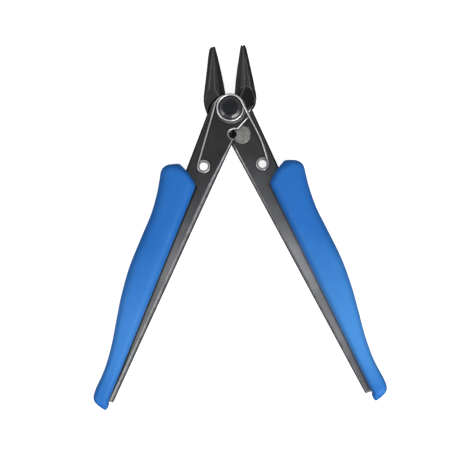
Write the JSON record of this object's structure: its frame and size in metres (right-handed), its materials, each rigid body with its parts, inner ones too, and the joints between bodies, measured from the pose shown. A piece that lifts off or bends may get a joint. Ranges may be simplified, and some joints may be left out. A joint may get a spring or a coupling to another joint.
{
  "type": "sprue nippers",
  "caption": "Hand-held flush cutter for model sprues: two lap-jointed steel halves with tapered jaws, a wire return spring and moulded grips, shown open.",
  "frame": {"origin": "on the pivot axis, at the flat rear face of the pivot rivet", "axes": "+X to the right, +Y from the pivot towards the jaw tips, +Z along the pivot axis towards the spring side"},
  "size_m": [0.0984, 0.1213, 0.012],
  "materials": {
    "black_steel": "black oxide",
    "rivet_steel": "polished black oxide",
    "spring_wire": "bright drawn wire",
    "bare_steel": "turned",
    "grip_plastic": "satin moulded"
  },
  "bodies": {
    "rear_lever": {"rear_half": "black_steel", "right_grip": "grip_plastic", "pivot_rivet": "rivet_steel", "spring_washer": "rivet_steel", "return_spring": "spring_wire", "stud": "bare_steel", "rear_eyelet": "bare_steel"},
    "front_lever": {"front_half": "black_steel", "left_grip": "grip_plastic", "front_eyelet": "bare_steel"}
  },
  "joints": [
    {"name": "jaw_pivot", "type": "hinge", "parent": "rear_lever", "child": "front_lever", "pos_m": [0, 0, 0], "axis": [0, 0, 1], "range_deg": [0, 22.6], "stiffness_Nm_per_rad": 0.4, "springref_deg": -20.05, "deforming": ["return_spring"]}
  ]
}
